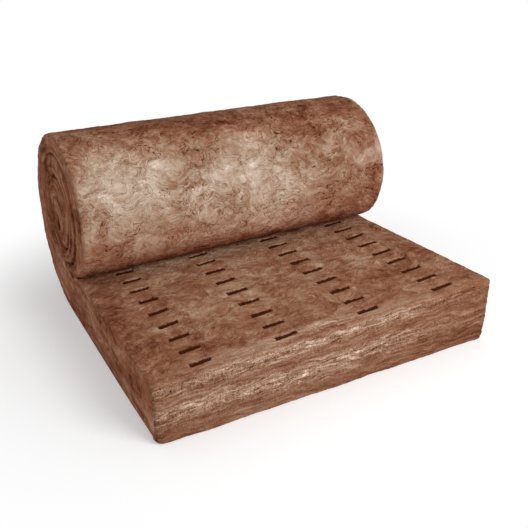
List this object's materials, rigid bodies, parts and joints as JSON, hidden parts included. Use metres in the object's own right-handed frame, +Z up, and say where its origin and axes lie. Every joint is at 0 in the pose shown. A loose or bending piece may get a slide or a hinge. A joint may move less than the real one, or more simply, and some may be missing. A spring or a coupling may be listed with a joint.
{
  "type": "insulation roll",
  "caption": "Partly unrolled mineral-wool felt: a thick flat length with pressed cutting marks, rising at the back into a spirally wound roll.",
  "frame": {"origin": "centre of the base rectangle, on the floor", "axes": "+X across the felt along the axis of the roll, -Y towards the cut front edge of the flat length, +Z up"},
  "size_m": [1.2, 1.2314, 0.68],
  "materials": {
    "mineral_wool": "matt"
  },
  "bodies": {
    "root": {"insulation_mat": "mineral_wool"}
  },
  "joints": []
}
